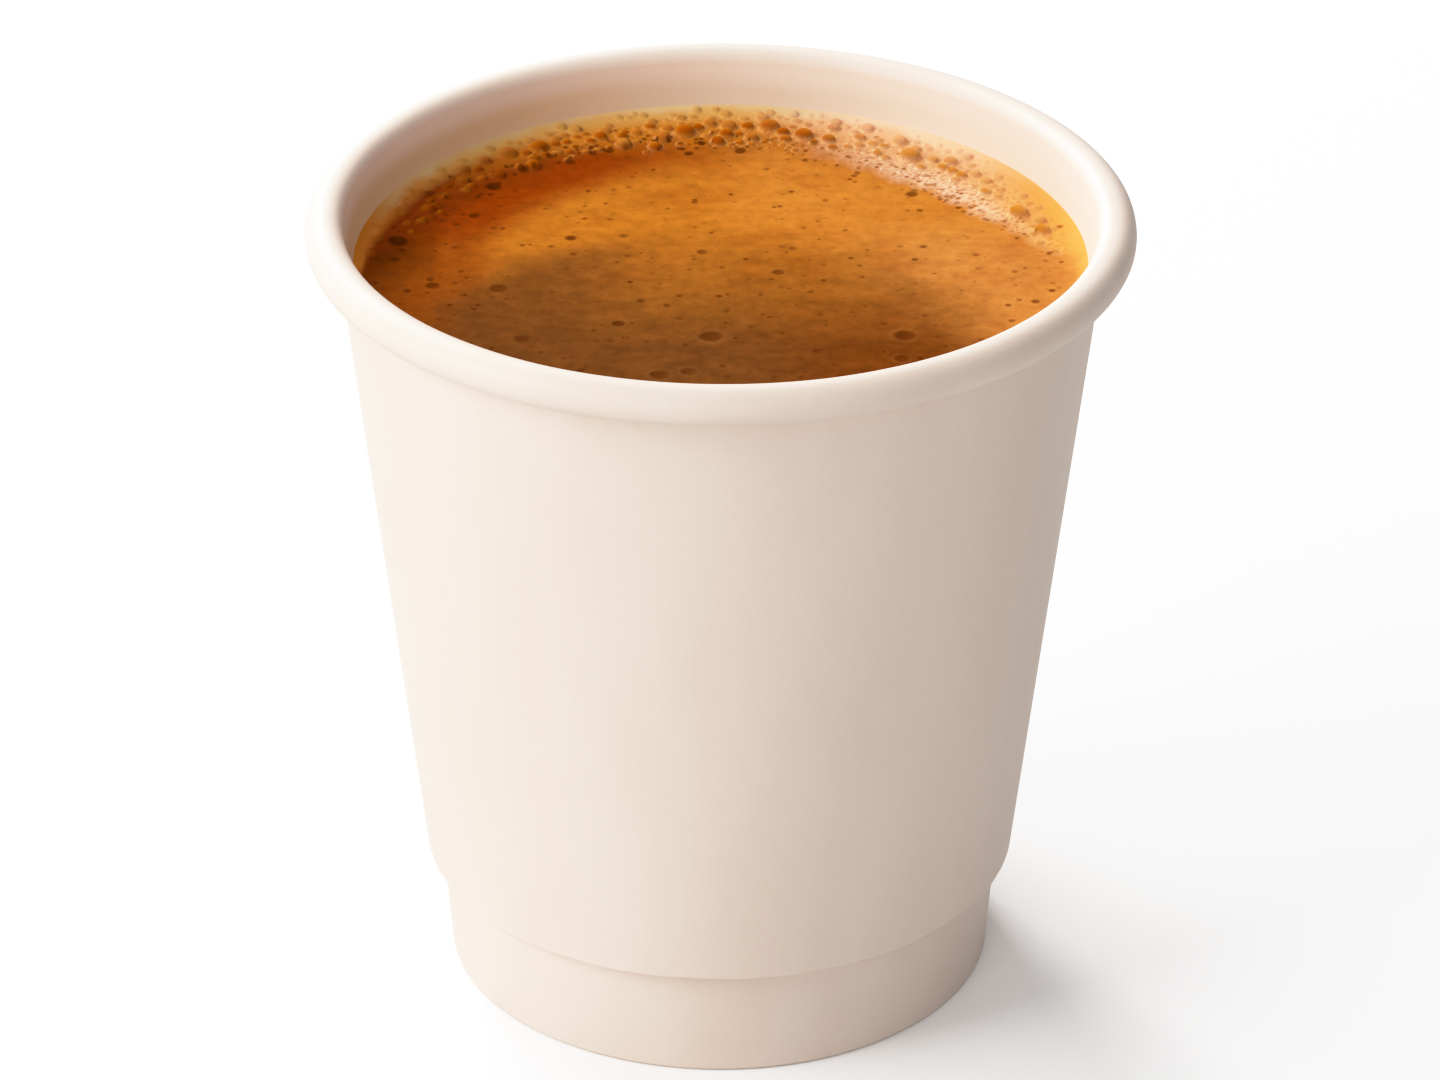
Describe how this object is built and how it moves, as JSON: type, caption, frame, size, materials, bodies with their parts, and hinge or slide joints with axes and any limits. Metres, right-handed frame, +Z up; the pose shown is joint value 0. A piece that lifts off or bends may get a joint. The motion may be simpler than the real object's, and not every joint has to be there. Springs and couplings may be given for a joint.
{
  "type": "espresso in a paper cup",
  "caption": "Espresso with a froth-edged crema, filling a small tapered paper cup that has a rolled rim, an insulating outer wrap and a narrower folded foot.",
  "frame": {"origin": "centre of the foot ring, on the surface the cup stands on", "axes": "+Z up along the cup's axis, +X to the right and +Y to the back as the picture shows it"},
  "size_m": [0.062, 0.062, 0.0627],
  "materials": {
    "cup_board": "thin coated paperboard, warm off-white, soft sheen",
    "wrap_board": "uncoated paperboard, warm off-white, matte",
    "coffee": "dark brown coffee, liquid gloss",
    "crema": "amber to brown coffee foam, wet, with bubbles along the wall and small open pits"
  },
  "bodies": {
    "root": {"inner_cup": "cup_board", "base_disc": "cup_board", "outer_wrap": "wrap_board", "coffee": "coffee", "crema": "crema"}
  },
  "joints": []
}
